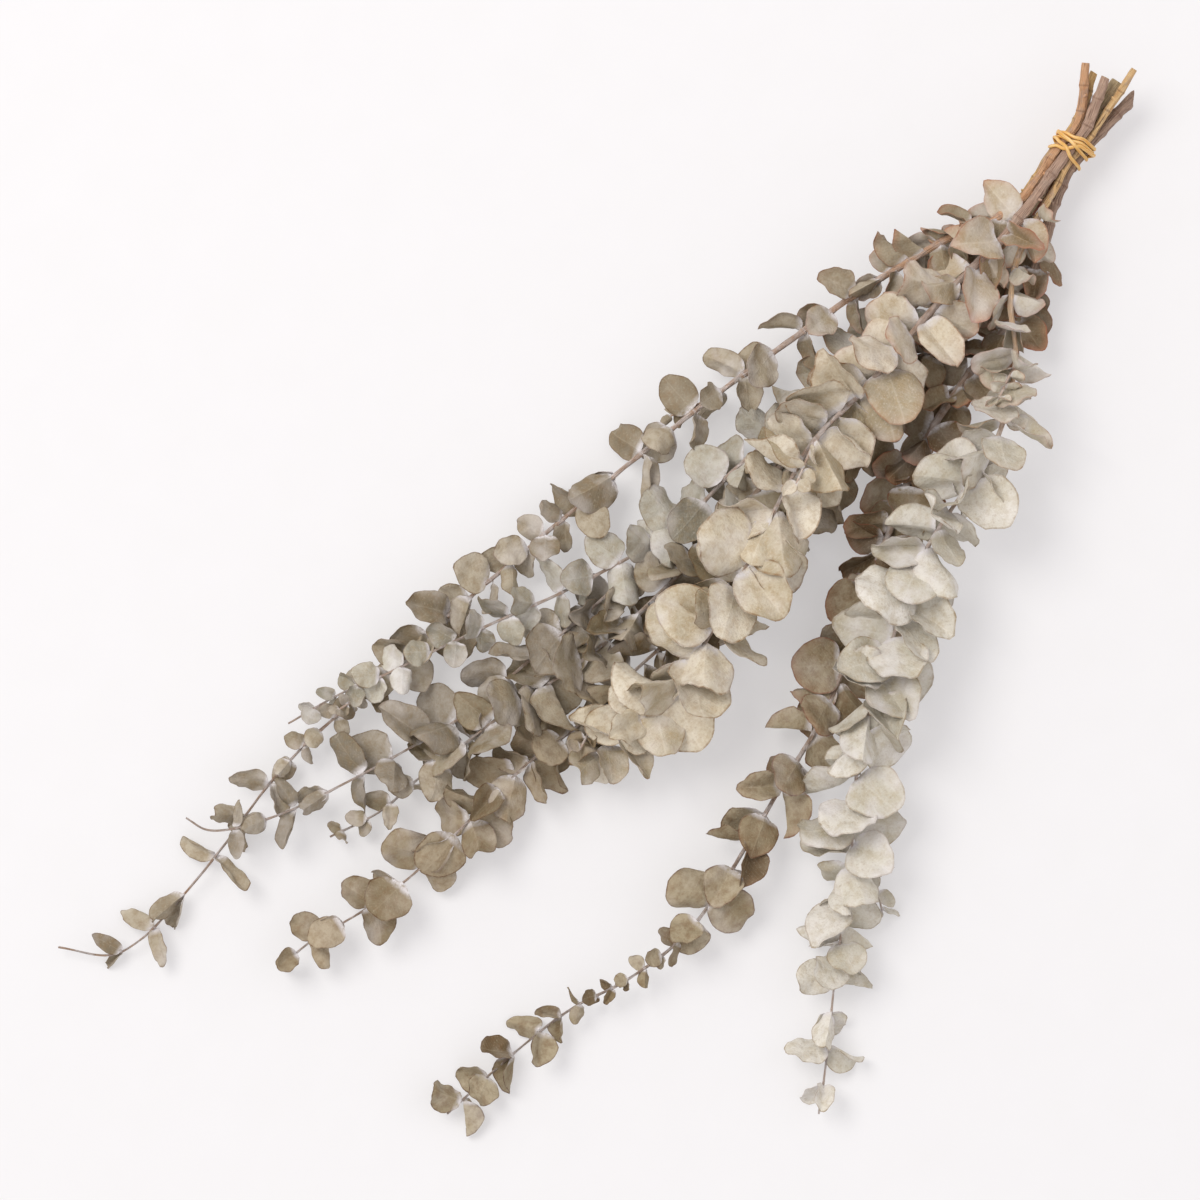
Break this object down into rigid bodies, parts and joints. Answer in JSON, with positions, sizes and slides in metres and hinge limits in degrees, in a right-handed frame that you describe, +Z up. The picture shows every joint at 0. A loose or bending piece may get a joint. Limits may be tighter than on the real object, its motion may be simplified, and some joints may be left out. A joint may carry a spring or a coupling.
{
  "type": "dried eucalyptus branch bunch",
  "caption": "Bunch of long dried round-leaved eucalyptus branches, tied near the cut ends with a wound rubber band and lying flat.",
  "frame": {"origin": "centre of the bunch's footprint, on the surface that it lies on", "axes": "+X along the bunch to the cut ends, +Y to its left side as seen from above with the cut ends pointing away, +Z up"},
  "size_m": [0.6728, 0.3526, 0.0722],
  "materials": {
    "leaf_cream": "dried leaf, dull with a light bloom",
    "leaf_pale": "dried leaf, dull with a heavy bloom",
    "leaf_green_grey": "dried leaf, dull",
    "leaf_blue_grey": "dried leaf, dull with a blue bloom",
    "leaf_olive": "dried leaf, dull",
    "latex": "slightly glossy natural rubber"
  },
  "bodies": {
    "root": {"branch_top": "leaf_cream", "branch_right_pale": "leaf_pale", "branch_left_long": "leaf_green_grey", "branch_left_budded": "leaf_blue_grey", "branch_right_dark": "leaf_olive", "branch_inner_right": "leaf_olive", "branch_inner_middle": "leaf_green_grey", "branch_inner_left": "leaf_green_grey", "rubber_band": "latex"}
  },
  "joints": []
}
